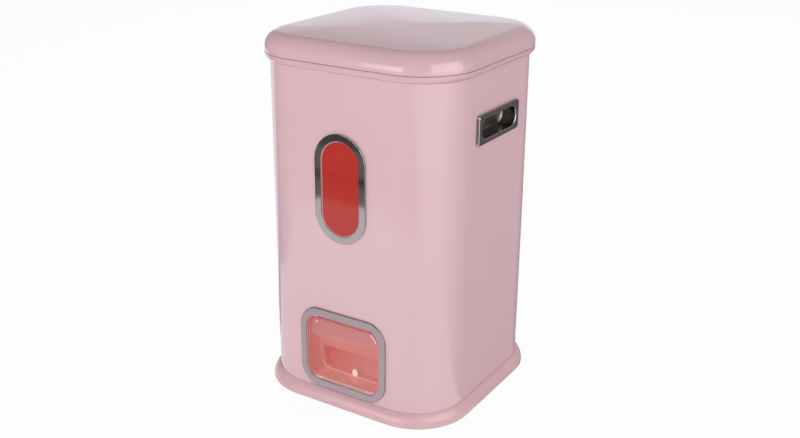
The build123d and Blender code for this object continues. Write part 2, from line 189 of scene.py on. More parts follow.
class NodeTree:
    """The node tree of a material or of the world, and the one way to add a node to it."""

    def __init__(self, tree):
        self.tree = tree

    def node(self, kind, settings=None, inputs=None, output=0):
        """Add a node: its settings first, then the values or links of its sockets."""
        node = self.tree.nodes.new(kind)
        for key, value in (settings or {}).items():
            setattr(node, key, value)
        for key, value in (inputs or {}).items():
            if isinstance(value, Value):
                self.link(value, node.inputs[key])
            else:
                node.inputs[key].default_value = value
        return Value(self, node.outputs[output])

    def link(self, value, socket):
        """Link a value to a socket."""
        self.tree.links.new(value.socket, socket)

    def light_path(self, kind):
        """1 for one kind of ray and 0 for the others."""
        return self.node("ShaderNodeLightPath", output=f"Is {kind} Ray")


class Finish(NodeTree):
    """One material: its shader's constants are set on the sockets, and patterns are linked to it."""

    def __init__(self, name, color, roughness, **constants):
        self.material = bpy.data.materials.new(name)
        self.material.use_nodes = True
        super().__init__(self.material.node_tree)
        self.shader = self.tree.nodes["Principled BSDF"]
        self.roughness = roughness
        self.shader.inputs["Base Color"].default_value = (*color, 1)
        self.shader.inputs["Roughness"].default_value = roughness
        for socket, value in constants.items():
            self.shader.inputs[socket.replace("_", " ")].default_value = value

    def place(self):
        """Object coordinates."""
        return self.node("ShaderNodeTexCoord", output="Object")

    def axis(self, letter):
        """One of the object's coordinates, in metres."""
        return self.node("ShaderNodeSeparateXYZ", inputs={0: self.place()}, output=letter)

    def noise(self, grains, detail):
        """Noise with a number of grains to the metre."""
        settings = {"Vector": self.place(), "Scale": grains, "Detail": detail}
        return self.node("ShaderNodeTexNoise", inputs=settings)

    def mix(self, share, first, second):
        """Blend two colours."""
        inputs = {0: share, 6: first, 7: second}
        return self.node("ShaderNodeMix", {"data_type": "RGBA"}, inputs, output=2)

    def drift(self, pattern, color, low, high):
        """A colour that a pattern of 0 to 1 takes from one tone to another."""
        return self.mix(pattern, tone(color, low), tone(color, high))

    def feed(self, **sockets):
        """Link values to the shader's sockets."""
        for name, value in sockets.items():
            self.link(value, self.shader.inputs[name.replace("_", " ")])

    def vary_roughness(self, pattern, swing):
        """Let the roughness swing about its value with a pattern of 0 to 1."""
        self.feed(Roughness=pattern * swing + (self.roughness - swing / 2))

    def bump(self, height, distance):
        """Raise the surface by a height pattern."""
        self.feed(Normal=self.node("ShaderNodeBump", inputs={"Distance": distance, "Height": height}))


def tone(color, factor):
    """A colour made lighter or darker, with its alpha."""
    return (*[min(part * factor, 1) for part in color], 1)


# Materials

def gloss_paint(name, color, roughness, coat):
    """Sprayed enamel: slow drift of tone, and orange peel in the gloss."""
    paint = Finish(name, color, roughness, Coat_Weight=coat, Coat_Roughness=0.05)
    paint.feed(Base_Color=paint.drift(paint.noise(9, detail=2), color, 0.98, 1.02))
    paint.vary_roughness(paint.noise(60, detail=4), 0.08)
    paint.bump(paint.noise(240, detail=2), 0.02 * MM)
    return paint.material


def moulded_plastic(name, color, roughness, **constants):
    """Solid moulding with a fine grain."""
    plastic = Finish(name, color, roughness, **constants)
    plastic.feed(Base_Color=plastic.drift(plastic.noise(12, detail=3), color, 0.95, 1.04))
    plastic.vary_roughness(plastic.noise(160, detail=3), 0.1)
    plastic.bump(plastic.noise(900, detail=3), 0.02 * MM)
    return plastic.material


def polished_lip(name, color, **constants):
    """Thin moulded edge that catches the light."""
    return moulded_plastic(name, color, 0.1, Coat_Weight=1.0, Coat_Roughness=0.03, **constants)


def plated_metal(name, color, roughness, edge_highlight_color=None):
    """Plating with faint clouding and polishing waves. A grip plate gets a painted highlight: a pale band
    on its upright edges.
    """
    metal = Finish(name, color, roughness, Metallic=1.0)
    haze_and_reflection = metal.noise(45, detail=4)
    plating = metal.drift(haze_and_reflection, color, 0.94, 1.05)
    if edge_highlight_color:
        # Painted highlight: a pale band on the upright edges of a grip plate.
        reach = abs(metal.axis("Y"))
        band_start = reach.ramp(grip_high.y - 1.0 * MM, grip_high.y - 0.8 * MM)
        band_end = reach.ramp(grip_high.y - 0.15 * MM, grip_high.y - 0.05 * MM)
        plating = metal.mix(band_start - band_start * band_end, plating, (*edge_highlight_color, 1))
    metal.feed(Base_Color=plating)
    metal.vary_roughness(haze_and_reflection, 0.06)
    metal.bump(metal.noise(160, detail=2), 0.02 * MM)
    return metal.material


def clear_pane(name, color):
    """Deep coral window: nearly solid in colour, with a flat glossy face."""
    pane = Finish(name, color, 0.07, IOR=1.49)
    pane.feed(Base_Color=pane.drift(pane.noise(14, detail=3), color, 0.9, 1.08))
    pane.vary_roughness(pane.noise(90, detail=3), 0.04)
    pane.bump(pane.noise(40, detail=2), 0.03 * MM)
    return pane.material


def clear_flap(name, color, reflected_color, deep):
    """Clear coral flap: faint flow marks, a painted reflection as a paler band under its hinge, and a deep
    barrel.
    """
    flap = Finish(name, color, 0.07, IOR=1.49)
    # Painted reflection: above a line that rises to the right, the flap turns paler and more solid,
    # standing in for the table reflected in it.
    rise = (flap.axis("X") - REFLECTION_RISE_FROM).at_least(0.0) * REFLECTION_RISE
    height = flap.axis("Z")
    haze_and_reflection = (height - rise).ramp(REFLECTION_FOOT - REFLECTION_SOFTNESS, REFLECTION_FOOT + REFLECTION_SOFTNESS)
    barrel = height.ramp(BARREL_FOOT - BARREL_SOFTNESS, BARREL_FOOT + BARREL_SOFTNESS)
    with_reflection = flap.mix(haze_and_reflection, (*color, 1), (*reflected_color, 1))
    flap.feed(Base_Color=flap.mix(barrel, with_reflection, (*deep, 1)))
    flap.feed(Alpha=haze_and_reflection * 0.34 + barrel * 0.3 + flap.noise(20, detail=2) * 0.03 + 0.12)
    flap.vary_roughness(flap.noise(90, detail=3), 0.04)
    flap.bump(flap.noise(55, detail=2), 0.04 * MM)
    return flap.material


def lit_coral(name, color, glow):
    """Coral moulding with a painted glow: an emission that stands in for the light passing through the
    translucent plastic.
    """
    return Finish(name, color, 0.3, Emission_Color=(*DEEP_CORAL, 1), Emission_Strength=glow)


def finished_coral(coral, color, tint):
    """Give a coral moulding its tint (the bin's painted shade, the well's painted light), cloudiness and
    grain.
    """
    coral.feed(Base_Color=coral.mix(coral.noise(16, detail=3) * 0.25, tint, tone(color, 1.08)))
    coral.vary_roughness(coral.noise(160, detail=3), 0.1)
    coral.bump(coral.noise(700, detail=3), 0.02 * MM)
    return coral.material


def bin_moulding(name, color, deep, glow):
    """Coral of the rice bin, with painted shade: deeper low down on the left, where the well shows it."""
    coral = lit_coral(name, color, glow)
    rightwards = coral.axis("X").ramp(-50 * MM, 10 * MM)
    upwards = coral.axis("Z").ramp(60 * MM, 110 * MM)
    share = rightwards + upwards - rightwards * upwards
    return finished_coral(coral, color, coral.mix(share, (*deep, 1), (*color, 1)))


def well_moulding(name, color, pale, glow):
    """Coral of the scoop well, with painted light: paler on and just above its floor."""
    coral = lit_coral(name, color, glow)
    above_floor = coral.axis("Z").ramp(26 * MM, 31 * MM)
    return finished_coral(coral, color, coral.mix(above_floor, (*pale, 1), (*color, 1)))


WHITE = (1, 1, 1)
CORAL = (0.52, 0.25, 0.24)
BIN_CORAL = (0.62, 0.335, 0.32)
# Deep coral: the bin's painted shade, and the colour of the painted glow of the bin and the well.
DEEP_CORAL = (0.58, 0.16, 0.14)
LIT_FLOOR_CORAL = (0.72, 0.46, 0.44)
FLAP_CORAL = (0.60, 0.175, 0.155)
REFLECTION_CORAL = (0.62, 0.255, 0.245)
BARREL_CORAL = (0.50, 0.10, 0.09)
PAINTED_EDGE_HIGHLIGHT = (0.72, 0.71, 0.72)
STOP_HIGHLIGHT_GLOW = (1, 0.95, 0.93)

enamel = gloss_paint("pink_enamel", (0.64, 0.425, 0.462), roughness=0.16, coat=0.4)
moulding = gloss_paint("pink_moulding", (0.605, 0.395, 0.425), roughness=0.16, coat=0.4)
base_gloss = gloss_paint("base_gloss", (0.61, 0.385, 0.405), roughness=0.26, coat=0.15)
chrome = plated_metal("bright_chrome", (0.46, 0.43, 0.44), roughness=0.06)
# Darker copies of the chrome for the grips' plates and cups: painted shade standing in for the dark
# reflections of the grips.
painted_shade_chrome = plated_metal("painted_shade_chrome", (0.27, 0.255, 0.26), 0.12, edge_highlight_color=PAINTED_EDGE_HIGHLIGHT)
painted_shade_cup_metal = plated_metal("painted_shade_cup_metal", (0.26, 0.235, 0.215), roughness=0.3)
satin_chrome = plated_metal("satin_chrome", (0.44, 0.385, 0.40), roughness=0.36)
zinc_steel = plated_metal("zinc_steel", (0.55, 0.55, 0.55), roughness=0.3)
tray_coral = well_moulding("tray_coral", CORAL, LIT_FLOOR_CORAL, glow=0.34)
bin_coral = bin_moulding("bin_coral", BIN_CORAL, DEEP_CORAL, glow=0.3)
pane_coral = clear_pane("pane_coral", (0.41, 0.028, 0.02))
flap_coral = clear_flap("flap_coral", FLAP_CORAL, REFLECTION_CORAL, BARREL_CORAL)
bead_coral = polished_lip("bead_coral", (0.66, 0.36, 0.34))
# Near-white coral that paints highlights on the well's ribs and on the flap's foot and corner ribs.
painted_highlight_coral = polished_lip("painted_highlight_coral", (0.90, 0.74, 0.72))
# The stop's near-white colour and glow paint a highlight.
stop_highlight_white = polished_lip("stop_highlight_white", (0.98, 0.94, 0.92),
                          Emission_Color=(*STOP_HIGHLIGHT_GLOW, 1), Emission_Strength=0.25)
# Pale coral that paints the highlight line round the pane.
pane_highlight_coral = moulded_plastic("pane_highlight_coral", (0.72, 0.42, 0.40), 0.15, Coat_Weight=0.6, Coat_Roughness=0.05)
seal_coral = moulded_plastic("seal_coral", (0.50, 0.21, 0.21), roughness=0.5)
seal_rubber = moulded_plastic("seal_rubber", (0.03, 0.03, 0.03), roughness=0.6)
foot_rubber = moulded_plastic("foot_rubber", (0.05, 0.05, 0.05), roughness=0.65)
grey_moulding = moulded_plastic("grey_moulding", (0.42, 0.41, 0.41), roughness=0.5)
liner_moulding = moulded_plastic("liner_moulding", (0.70, 0.66, 0.63), roughness=0.4)

MATERIAL_OF_SLOT = {
    "pink_enamel": enamel, "pink_moulding": moulding, "grey_moulding": grey_moulding,
    "liner_moulding": liner_moulding, "bin_coral": bin_coral, "tray_coral": tray_coral,
    "flap_coral": flap_coral, "pane_coral": pane_coral, "seal_coral": seal_coral,
    "seal_rubber": seal_rubber, "foot_rubber": foot_rubber, "bright_chrome": chrome,
    "screw_steel": zinc_steel,
}
slot_of_node = {part["node"]: part["material_slot"] for part in frame["record"]["subparts"]}
for node, part in frame["nodes"].items():
    part.data.materials.clear()
    part.data.materials.append(MATERIAL_OF_SLOT[slot_of_node[node]])


# Shapes

def arc(middle, radius, start, end, steps=EDGE_STEPS):
    """Points of an arc between two angles in degrees."""
    turns = [math.radians(start + (end - start) * step / steps) for step in range(steps + 1)]
    return [(middle[0] + radius * math.cos(t), middle[1] + radius * math.sin(t)) for t in turns]


def circle(middle, radius, steps, start=0):
    """Points of a whole circle, from an angle in degrees."""
    return arc(middle, radius, start, start + 360, steps)[:-1]


def leaning_arc(start, end, steps):
    """An arc of a section that sets off upright from its widest point and leans in to its end."""
    run, rise = start[0] - end[0], end[1] - start[1]
    radius = (run ** 2 + rise ** 2) / (2 * run)
    turn = math.degrees(math.asin(rise / radius))
    return arc((start[0] - radius, start[1]), radius, 0, turn, steps)


def raised_section(rim, proud, outer, inner, steps=EDGE_STEPS):
    """Section of a raised ring: its outer foot, then the two rounded edges of its face."""
    section = [(rim, 0)] + arc((rim - outer, proud - outer), outer, 0, 90, steps)
    return section + arc((inner, proud - inner), inner, 90, 180, steps)


def grown(outline, distance):
    """An outline made larger all round."""
    return Outline(outline.half_x + distance, outline.half_y + distance, outline.radius + distance,
                   outline.height)


def carried_round(section, outline, closed=True, steps=CORNER_STEPS):
    """Carry a section, drawn as distance out and z, once round an outline."""
    bm = bmesh.new()
    corner_x, corner_y = outline.half_x - outline.radius, outline.half_y - outline.radius
    verts = [bm.verts.new((outline.half_x + out, outline.height - corner_y, z)) for out, z in section]
    ends = verts[1:] + verts[:1] if closed else verts[1:]
    profile = verts + [bm.edges.new(pair) for pair in zip(verts, ends)]
    corners = [(corner_x, corner_y), (-corner_x, corner_y), (-corner_x, -corner_y), (corner_x, -corner_y)]
    for number, (x, y) in enumerate(corners):
        run = (Vector((x, y)) - Vector(corners[number - 1])).to_3d()
        if run.length > 0:
            profile = bmesh.ops.spin(bm, geom=profile, cent=(0, 0, 0), axis=(0, 0, 1), dvec=run,
                                     angle=0, steps=1, use_merge=False)["geom_last"]
        profile = bmesh.ops.spin(bm, geom=profile, cent=(x, outline.height + y, 0), axis=(0, 0, 1),
                                 dvec=(0, 0, 0), angle=math.pi / 2, steps=steps,
                                 use_merge=False)["geom_last"]
    bmesh.ops.remove_doubles(bm, verts=bm.verts, dist=MERGE_WITHIN)
    return bm


def rim_edges(bm):
    """The edges of the open loops of a mesh."""
    return [edge for edge in bm.edges if edge.is_boundary]


def closed_up(bm):
    """Fill the open loops and turn the faces outwards."""
    bmesh.ops.holes_fill(bm, edges=rim_edges(bm), sides=0)
    bmesh.ops.recalc_face_normals(bm, faces=bm.faces)
    return bm


def cut_off(bm, point, normal):
    """Take away what lies beyond a plane, and close the cut."""
    geometry = bm.verts[:] + bm.edges[:] + bm.faces[:]
    bmesh.ops.bisect_plane(bm, geom=geometry, plane_co=point, plane_no=normal, clear_outer=True)
    return closed_up(bm)


def rectangle(width, height):
    """A flat face round the origin."""
    bm = bmesh.new()
    bmesh.ops.create_grid(bm, x_segments=1, y_segments=1, size=0.5)
    bmesh.ops.scale(bm, vec=(width, height, 1), verts=bm.verts)
    return bm


def rod(radius, length, segments, place):
    """A round bar along local z, at a place."""
    bm = bmesh.new()
    bmesh.ops.create_cone(bm, cap_ends=True, segments=segments, radius1=radius, radius2=radius,
                          depth=length, matrix=place)
    return bm


def axle(radius, low, high, y, z):
    """A round bar along x between two ends."""
    along_x = Matrix.Rotation(math.pi / 2, 4, "Y")
    return rod(radius, high - low, 48, Matrix.Translation(((low + high) / 2, y, z)) @ along_x)


def as_object(bm, name, place=PLAN):
    """A mesh object from a bmesh that was drawn on one of the casing's faces."""
    bmesh.ops.transform(bm, matrix=place, verts=bm.verts)
    bmesh.ops.recalc_face_normals(bm, faces=bm.faces)
    for face in bm.faces:
        face.smooth = True
    mesh = bpy.data.meshes.new(name)
    bm.to_mesh(mesh)
    bm.free()
    mesh.set_sharp_from_angle(angle=SHARP_ANGLE)
    piece = bpy.data.objects.new(name, mesh)
    bpy.context.scene.collection.objects.link(piece)
    return piece


def block(outline, low, high, place, name="block", steps=CORNER_STEPS):
    """A rounded block between two distances out from a face."""
    shape = carried_round([(0, low), (0, high)], outline, closed=False, steps=steps)
    return as_object(closed_up(shape), name, place)


def combined(piece, others, operation="DIFFERENCE"):
    """Cut a piece with other objects, or join them to it, and remove them."""
    for other in others:
        modifier = piece.modifiers.new("cut", "BOOLEAN")
        modifier.operation = operation
        modifier.solver = "EXACT"
        modifier.object = other
    graph = bpy.context.evaluated_depsgraph_get()
    mesh = bpy.data.meshes.new_from_object(piece.evaluated_get(graph))
    piece.modifiers.clear()
    piece.data = mesh
    mesh.set_sharp_from_angle(angle=SHARP_ANGLE)
    for other in others:
        bpy.data.objects.remove(other)


def dress(piece, body, material, slot, *nodes):
    """Give a piece its material, and make it ride on a body in place of CAD nodes. The slot is not used."""
    piece.data.materials.clear()
    piece.data.materials.append(material)
    weighted = piece.modifiers.new("flat gloss", "WEIGHTED_NORMAL")
    weighted.keep_sharp = True
    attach(piece, body)
    if nodes:
        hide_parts(*nodes)


# Casing

def painted_casing():
    """The enamelled tube with its openings and the folded seam down the back."""
    section = [(-SHEET, shell_low.z), (0, shell_low.z), (0, shell_high.z), (-SHEET, shell_high.z)]
    tube = as_object(carried_round(section, CASING), "painted_casing")
    gap = 2.5 * MM
    depth = 5 * SHEET
    openings = ((MOUTH, FRONT), (WINDOW, FRONT), (RECESS, RIGHT), (RECESS, LEFT))
    cutters = [block(grown(outline, gap), -depth, depth, place) for outline, place in openings]
    combined(tube, cutters + [seam_groove()])
    dress(tube, "casing", enamel, "pink_enamel", "body_shell")


def seam_groove():
    """The thin line of the folded seam, down the middle of the back."""
    width, depth, length = 0.4 * MM, 0.8 * MM, 500 * MM
    seam_x, middle_z = 4.5 * MM, 200 * MM
    bm = bmesh.new()
    bmesh.ops.create_cube(bm, size=1)
    bmesh.ops.scale(bm, vec=(width, depth, length), verts=bm.verts)
    bmesh.ops.translate(bm, vec=(seam_x, HALF_DEPTH, middle_z), verts=bm.verts)
    return as_object(bm, "groove")


def base_moulding():
    """Rounded skirt round the foot of the casing, with the shelf that the sheet stands on."""
    flare = base_high.x - HALF_WIDTH
    wall = 2 * MM
    edge = 0.5 * MM
    widest = base_low.z + 0.8 * MM
    crest = 0.8 * MM
    shelf_end = -9.9 * MM
    shelf_low = shell_low.z - 2.5 * MM
    section = [(flare - wall, base_low.z)] + arc((flare - edge, base_low.z + edge), edge, -90, 0, 3)
    section += leaning_arc((flare, widest), (crest, base_high.z), 14)
    section += [(SLIP, base_high.z), (SLIP, shell_low.z), (shelf_end, shell_low.z),
                (shelf_end, shelf_low), (flare - wall, shelf_low)]
    piece = as_object(carried_round(section, CASING), "base_moulding")
    dress(piece, "casing", base_gloss, "pink_moulding", "base_ring")


# Rim, lid and hinge

def hinge_room(low, high, radius=BARREL_ROOM):
    """Room along the hinge's axis for a barrel, or for an end of the pin."""
    return as_object(axle(radius, low, high, HINGE_Y, HINGE_Z), "room")


def knuckle(low, high, upwards):
    """Hinge barrel with the gusset that joins it to the wall above (1) or below (-1)."""
    reach = 5 * MM
    bm = bmesh.new()
    outline = circle((HINGE_Y, HINGE_Z), BARREL, 48)
    outline += [(HINGE_Y - back, HINGE_Z + upwards * reach) for back in (1.3 * MM, 2.5 * MM)]
    for x in (low, high):
        for y, z in outline:
            bm.verts.new((x, y, z))
    hull = bmesh.ops.convex_hull(bm, input=bm.verts)
    bmesh.ops.delete(bm, geom=hull["geom_interior"], context="VERTS")
    return as_object(bm, "knuckle")


def rim_moulding():
    """Swelling rim over the casing's upper edge, with the mouth, the ledge and outer hinge barrels."""
    widest = RIM_TOP - 1.6 * MM
    root = RIM_TOP - 8 * MM
    leg_out, leg_in = -SHEET - SLIP, -2.9 * MM
    mouth, ledge_end = -6 * MM, -9.7 * MM
    ledge_high = RIM_TOP - 10.6 * MM
    ledge_low = ledge_high - 2.4 * MM
    section = arc((mouth + SEAM_EDGE, RIM_TOP - SEAM_EDGE), SEAM_EDGE, 180, 90, 4)
    section += arc((RIM_FLARE - SEAM_EDGE, RIM_TOP - SEAM_EDGE), SEAM_EDGE, 90, 0, 4)
    section += leaning_arc((RIM_FLARE, widest), (SLIP, root), 10)
    section += [(SLIP, shell_high.z), (leg_out, shell_high.z), (leg_out, collar_low.z),
                (leg_in, collar_low.z), (leg_in, ledge_low), (ledge_end, ledge_low),
                (ledge_end, ledge_high), (mouth, ledge_high)]
    rim = as_object(carried_round(section, CASING), "rim_moulding")
    combined(rim, [hinge_room(-HINGE_INNER, HINGE_INNER)])
    combined(rim, [knuckle(HINGE_INNER, HINGE_OUTER, -1), knuckle(-HINGE_OUTER, -HINGE_INNER, -1)],
             "UNION")
    combined(rim, [hinge_room(-HINGE_END, SLIVER - HINGE_OUTER, PIN_ROOM),
                   hinge_room(HINGE_OUTER - SLIVER, HINGE_END, PIN_ROOM)])
    dress(rim, "casing", moulding, "pink_moulding", "top_collar")


def crown_height(half, inset):
    """Height of the lid's slow dome at a distance from its middle."""
    return lid_high.z - inset - LID_CROWN * (half / (HALF_WIDTH + RIM_FLARE)) ** 2


def brow_points(inset):
    """The lid's brow from its lower edge up to the crown, shrunk by a distance."""
    brow = LID_BROW - inset
    slope = math.atan(2 * LID_CROWN / (HALF_WIDTH + RIM_FLARE))
    middle = RIM_FLARE - inset - brow
    reach = middle + brow * math.sin(slope)
    base = crown_height(HALF_WIDTH + reach, inset) - brow * math.cos(slope)
    return arc((middle, base), brow, 0, 90 - math.degrees(slope), 18)


def close_crown(bm):
    """Fill the dome inside its last ring, with smaller rings that follow its rise."""
    fill = bmesh.ops.holes_fill(bm, edges=rim_edges(bm), sides=0)["faces"]
    crown = max(fill, key=lambda face: face.calc_center_median().z)
    last_ring = HALF_WIDTH - CROWN_INSET
    for share in (0.8, 0.6, 0.4, 0.2, 0.05):
        bmesh.ops.inset_region(bm, faces=[crown], thickness=MM, depth=0)
        shrink = share * last_ring / max(vert.co.x for vert in crown.verts)
        bmesh.ops.scale(bm, vec=(shrink, shrink, 1), verts=crown.verts)
        for vert in crown.verts:
            vert.co.z = crown_height(share * last_ring, 0)


def lid_cover():
    """Domed lid: outer skin with its brow and crown, inner skin and the middle hinge barrel."""
    crown_steps = 6
    inner = brow_points(LID_WALL)
    outer = brow_points(0)
    section = inner[::-1] + [(RIM_FLARE - LID_WALL, LID_BOTTOM)]
    section += arc((RIM_FLARE - SEAM_EDGE, LID_BOTTOM + SEAM_EDGE), SEAM_EDGE, -90, 0, 4) + outer
    start = outer[-1][0]
    for step in range(1, crown_steps + 1):
        out = start - (CROWN_INSET + start) * step / crown_steps
        section.append((out, crown_height(HALF_WIDTH + out, 0)))
    bm = carried_round(section, CASING, closed=False)
    close_crown(bm)
    lid = as_object(bm, "lid_cover")
    combined(lid, [knuckle(-HINGE_MIDDLE, HINGE_MIDDLE, 1)], "UNION")
    combined(lid, [hinge_room(-HINGE_END, SLIVER - HINGE_MIDDLE),
                   hinge_room(HINGE_MIDDLE - SLIVER, HINGE_END)])
    dress(lid, "lid", moulding, "pink_moulding", "lid_shell")


def lid_gasket():
    """Coral gasket under the lid, with a lip just inside the seam."""
    inside, groove, outside = -6.6 * MM, 3.2 * MM, 5.2 * MM
    low, high = RIM_TOP + 0.25 * MM, LID_BOTTOM + 0.6 * MM
    lip = LID_BOTTOM - 0.1 * MM
    section = [(inside, low), (outside, low), (outside, lip), (groove, lip), (groove, high), (inside, high)]
    gasket = as_object(carried_round(section, CASING), "lid_gasket")
    combined(gasket, [hinge_room(-HINGE_END, HINGE_END)])
    dress(gasket, "lid", seal_coral, "seal_coral", "lid_seal")


# Scoop well

def well_part(grow, low, high, roof, upwards):
    """A part of the well's room between two depths, grown by a wall and cut off by its roof."""
    room = carried_round([(grow, low), (grow, high)], MOUTH, closed=False)
    return cut_off(closed_up(room), roof, upwards)


def edges_of_back(room):
    """The edges where the well's back meets its floor and sides, but not its sloping roof."""
    deepest = 0.1 * MM - WELL_DEPTH
    deep = [edge for edge in room.edges if max(vert.co.z for vert in edge.verts) < deepest]
    return [edge for edge in deep if {face.normal.z < -0.9 for face in edge.link_faces} == {True, False}]


def scoop_well():
    """Coral well behind the flap: sloping roof, rounded back corner and the sill of the throat."""
    wall = 2.2 * MM
    flange_thickness = 3 * MM
    knee = Vector((0, MOUTH_TOP, -ROOF_START))
    slope = Vector((0, WELL_DEPTH - ROOF_START, THROAT_TOP - MOUTH_TOP)).normalized()
    throat = Vector((0, THROAT_TOP, 0))
    well = block(WELL_FLANGE, -SHEET - flange_thickness, -SHEET, FRONT, "scoop_well")
    outer = [well_part(wall, -WELL_DEPTH - wall, -2 * SHEET, knee + slope * wall, slope),
             well_part(wall, -THROAT_END, -WELL_DEPTH, throat + UP * wall, UP)]
    room = well_part(0, -WELL_DEPTH, MM, knee, slope)
    bmesh.ops.bevel(room, geom=edges_of_back(room), offset=SILL, segments=4, profile=0.5,
                    affect="EDGES", material=-1)
    inner = [room, well_part(-SILL, -THROAT_END - MM, -WELL_DEPTH + 0.5 * MM, throat, UP)]
    combined(well, [as_object(bm, "wall", FRONT) for bm in outer], "UNION")
    combined(well, [as_object(bm, "room", FRONT) for bm in inner])
    dress(well, "casing", tray_coral, "tray_coral", "outlet_tray")


def well_stop():
    """Domed stop on the middle of the throat's sill, near white and glowing: a painted highlight."""
    above_floor = 5.5 * MM
    stretch = (0.8, 0.6, 1.1)
    bm = bmesh.new()
    bmesh.ops.create_uvsphere(bm, u_segments=32, v_segments=16, radius=4.5 * MM)
    bmesh.ops.scale(bm, vec=stretch, verts=bm.verts)
    bmesh.ops.translate(bm, vec=(0, WELL_BACK_Y - MM, MOUTH_FOOT + above_floor), verts=bm.verts)
    dress(as_object(bm, "well_stop"), "casing", stop_highlight_white, "tray_coral")


def well_rib(name, side):
    """Fine upright rib at one back corner of the well, with a small knob at each end, in a pale colour that
    paints a highlight streak.
    """
    rib_radius, knob_radius = 0.35 * MM, 0.9 * MM
    top = Vector((side * 47.2 * MM, WELL_BACK_Y, 57 * MM))
    foot = Vector((side * 42.3 * MM, WELL_BACK_Y, 30 * MM))
    run = foot - top
    along = Matrix.Translation((top + foot) / 2) @ run.to_track_quat("Z", "Y").to_matrix().to_4x4()
    rib = as_object(rod(rib_radius, run.length, 16, along), name)
    knobs = []
    for end in (top, foot):
        bm = bmesh.new()
        bmesh.ops.create_uvsphere(bm, u_segments=20, v_segments=12, radius=knob_radius,
                                  matrix=Matrix.Translation(end))
        knobs.append(as_object(bm, "knob"))
    combined(rib, knobs, "UNION")
    dress(rib, "casing", painted_highlight_coral, "tray_coral")


def mouth_lip():
    """Thin coral lip of the well round the inside of the bright frame."""
    soft = 0.4 * MM
    proud = 1.6 * MM
    section = [(0, -SHEET), (-soft, -SHEET)] + arc((-soft, proud), soft, 180, 0, 6)
    piece = as_object(carried_round(section, MOUTH), "mouth_lip", FRONT)
    dress(piece, "casing", bead_coral, "tray_coral")


# Flap

def flap_plate():
    """Clear flap: plate with rounded corners, barrel round its rod and a pull along the foot."""
    high = MOUTH_TOP - FLAP_GAP
    half = MOUTH.half_x - FLAP_GAP
    upper_radius, lower_radius = 24 * MM, 15 * MM
    barrel_radius, barrel_reach = 2.4 * MM, 36 * MM
    pull_proud = 4.2 * MM
    bm = rectangle(2 * half, high - FLAP_FOOT)
    bmesh.ops.translate(bm, vec=(0, (FLAP_FOOT + high) / 2, -FLAP_BACK), verts=bm.verts)
    for radius, is_upper in ((upper_radius, True), (lower_radius, False)):
        ends = [vert for vert in bm.verts if (vert.co.y > OUTLET_MIDDLE) == is_upper]
        bmesh.ops.bevel(bm, geom=ends, offset=radius, segments=20, profile=0.5,
                        affect="VERTICES", material=-1)
    cut_off(bm, Vector((0, FLAP_AXIS_Z, 0)), UP)
    face = max(bm.faces, key=lambda face: face.calc_area())
    raised = bmesh.ops.extrude_face_region(bm, geom=[face])["geom"]
    front = [part for part in raised if isinstance(part, bmesh.types.BMVert)]
    bmesh.ops.translate(bm, vec=(0, 0, FLAP_BACK - FLAP_FRONT), verts=front)
    plate = as_object(bm, "flap_plate", FRONT)
    bar = axle(barrel_radius, -barrel_reach, barrel_reach, FLAP_AXIS_Y, FLAP_AXIS_Z)
    barrel = as_object(bar, "barrel")
    pull_outline = Outline(28 * MM, MM, 0.6 * MM, FLAP_FOOT + MM)
    pull = block(pull_outline, MM - FLAP_BACK, pull_proud - FLAP_FRONT, FRONT, steps=4)
    combined(plate, [barrel, pull], "UNION")
    dress(plate, "flap", flap_coral, "flap_coral", "outlet_flap")


def flap_foot():
    """Lip along the flap's foot, in a pale colour that paints a highlight line."""
    outline = Outline(45 * MM, 0.45 * MM, 0.4 * MM, FLAP_FOOT + 0.6 * MM)
    foot = block(outline, -FLAP_FRONT - MM, -0.2 * MM, FRONT, "flap_edge", steps=4)
    dress(foot, "flap", painted_highlight_coral, "flap_coral")


def flap_side():
    """Lip up the flap's left side, in a coral paler than the flap that paints a highlight line along that
    edge.
    """
    place = FRONT @ Matrix.Translation((-47.9 * MM, 0, 0))
    outline = Outline(0.3 * MM, 24 * MM, 0.25 * MM, OUTLET_MIDDLE - 2 * MM)
    side = block(outline, -FLAP_FRONT - MM, -2 * MM, place, "flap_side", steps=4)
    dress(side, "flap", bead_coral, "flap_coral")


def flap_rib(name, middle, start, end):
    """Fine curved rib at one of the flap's upper corners, between two angles in degrees, in a pale colour
    that paints the corner's highlight.
    """
    thickness = 1.3 * MM
    bm = bmesh.new()
    section = circle((FLAP_RIB_BEND, -FLAP_FRONT), thickness / 2, 12)
    verts = [bm.verts.new((out, 0, z)) for out, z in section]
    ring = [bm.edges.new(pair) for pair in zip(verts, verts[1:] + verts[:1])]
    turn = Matrix.Rotation(math.radians(start), 3, "Z")
    bmesh.ops.rotate(bm, cent=(0, 0, 0), matrix=turn, verts=verts)
    bmesh.ops.spin(bm, geom=verts + ring, cent=(0, 0, 0), axis=(0, 0, 1), dvec=(0, 0, 0),
                   angle=math.radians(end - start), steps=12, use_merge=False)
    bmesh.ops.translate(bm, vec=(middle, FLAP_RIB_Z, 0), verts=bm.verts)
    dress(as_object(closed_up(bm), name, FRONT), "flap", painted_highlight_coral, "flap_coral")


# Frame, window and grips

def outlet_surround():
    """Bright frame round the outlet, its upper and lower bars set to the width that the solid has."""
    proud = -HALF_DEPTH - frame_low.y
    rim = frame_high.x - MOUTH.half_x
    wider = WELL_FLANGE.half_y - MOUTH.half_y - rim
    section = raised_section(rim, proud, outer=1.3 * MM, inner=0.7 * MM) + [(0, 0)]
    shape = carried_round(section, MOUTH)
    for vert in shape.verts:
        rise = vert.co.y - OUTLET_MIDDLE
        beyond = abs(rise) - MOUTH.half_y
        if beyond > 0:
            vert.co.y += math.copysign(wider * beyond / rim, rise)
    piece = as_object(shape, "outlet_surround", FRONT)
    dress(piece, "casing", satin_chrome, "bright_chrome", "outlet_frame")


